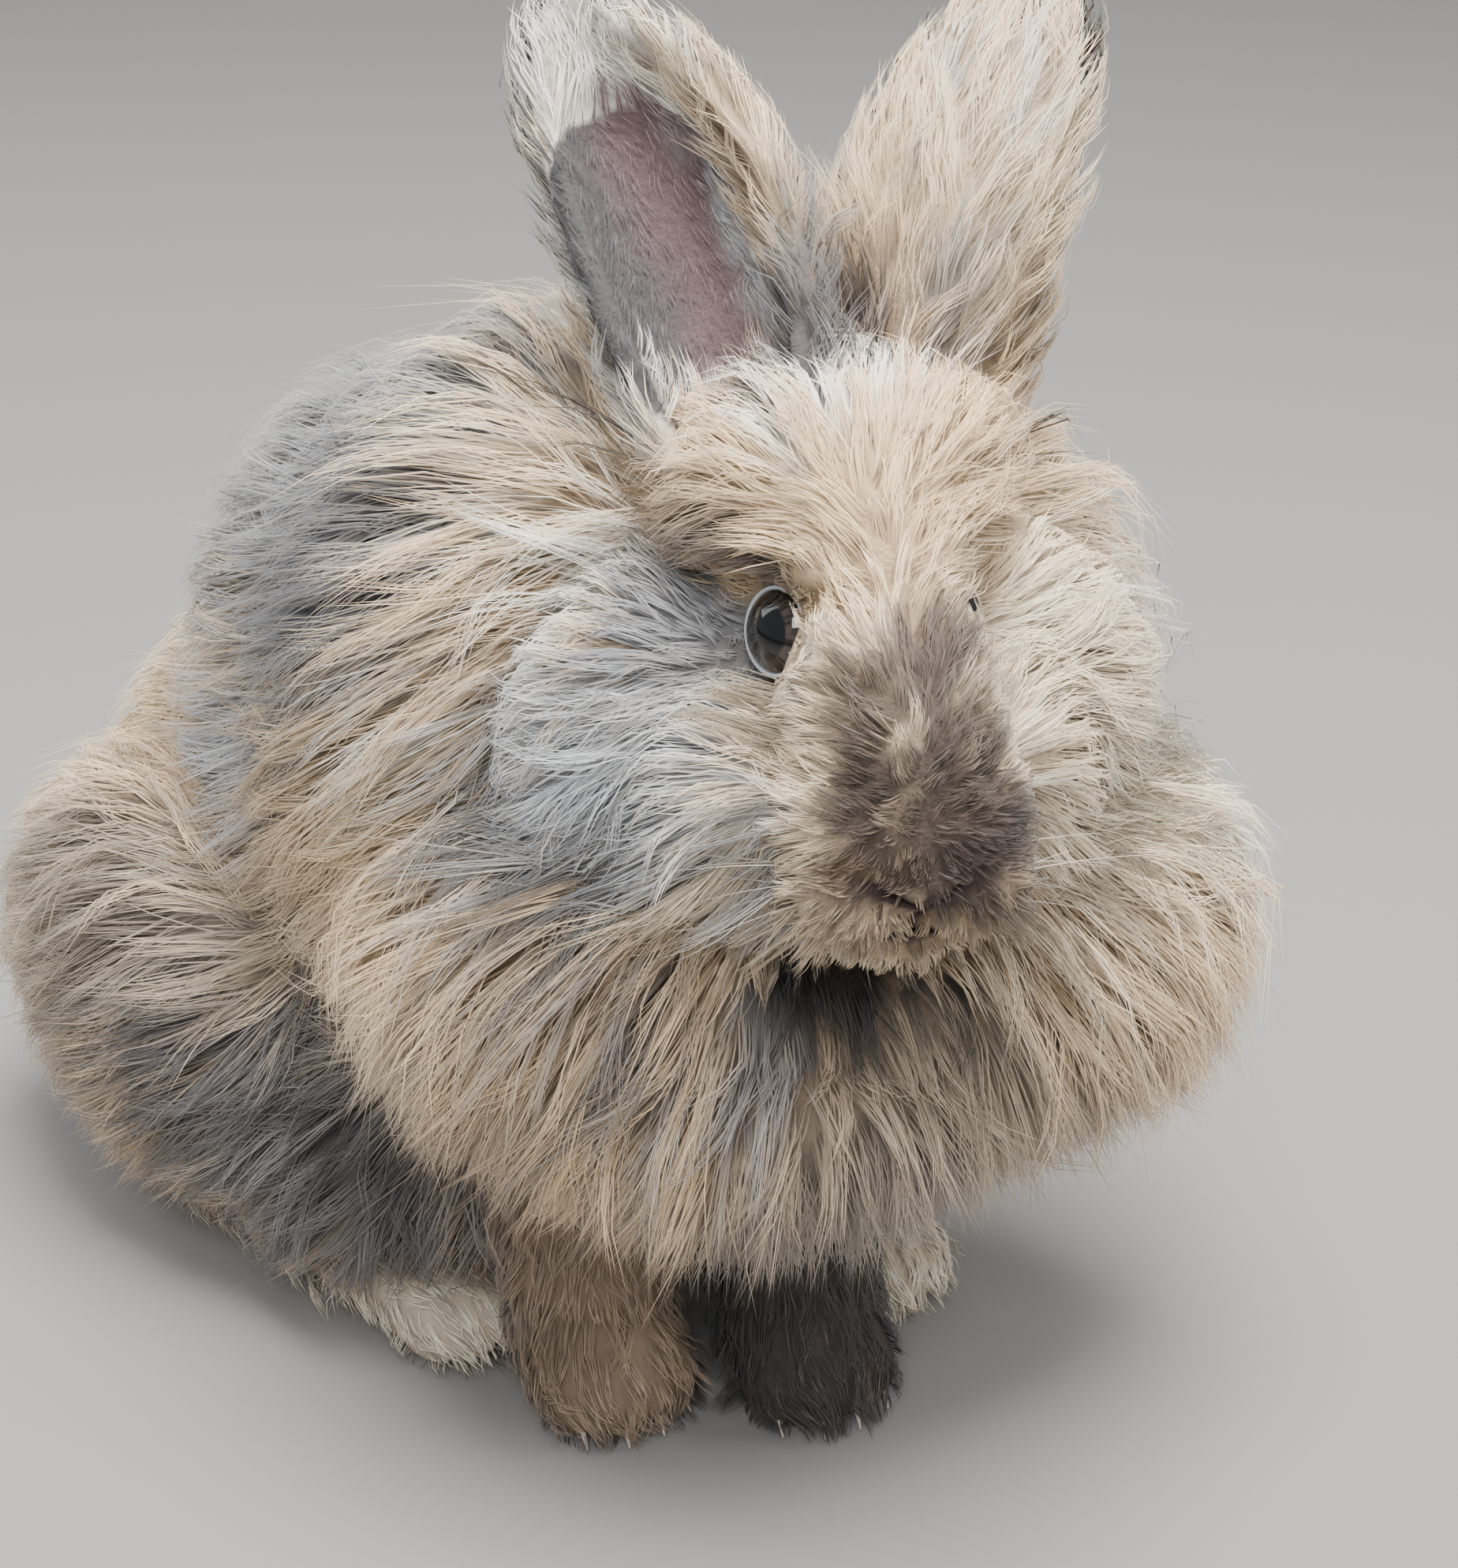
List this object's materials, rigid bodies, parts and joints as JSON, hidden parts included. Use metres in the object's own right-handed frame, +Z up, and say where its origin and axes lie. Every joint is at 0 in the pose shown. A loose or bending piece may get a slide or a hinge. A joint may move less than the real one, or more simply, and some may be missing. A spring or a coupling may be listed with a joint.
{
  "type": "lionhead rabbit",
  "caption": "Sitting lionhead rabbit with upright cupped ears, a thick mane of long locks round the head and chest, and flat feet, as a still life-size animal model.",
  "frame": {"origin": "middle of the bounding box, on the floor", "axes": "the rabbit's body faces -Y, its left is +X, +Z is up"},
  "size_m": [0.1598, 0.2712, 0.2509],
  "materials": {
    "face_coat": "short fawn and smoky grey fur",
    "ear_coat": "short cream fur outside, thin mauve-grey skin in the cup",
    "eye": "wet, dark brown-grey iris with a wide black pupil",
    "mane": "long soft fawn, cream and blue-grey hair",
    "body_coat": "long blue-grey and fawn hair",
    "leg_coat": "short dense brown-fawn fur",
    "dark_leg_coat": "short dense charcoal fur"
  },
  "bodies": {
    "root": {"head": "face_coat", "ear_right": "ear_coat", "ear_left": "ear_coat", "eye_right": "eye", "eye_left": "eye", "neck": "mane", "torso": "body_coat", "haunch_right": "body_coat", "haunch_left": "body_coat", "tail": "body_coat", "foreleg_right": "leg_coat", "foreleg_left": "dark_leg_coat", "hindfoot_right": "leg_coat", "hindfoot_left": "leg_coat"}
  },
  "joints": []
}
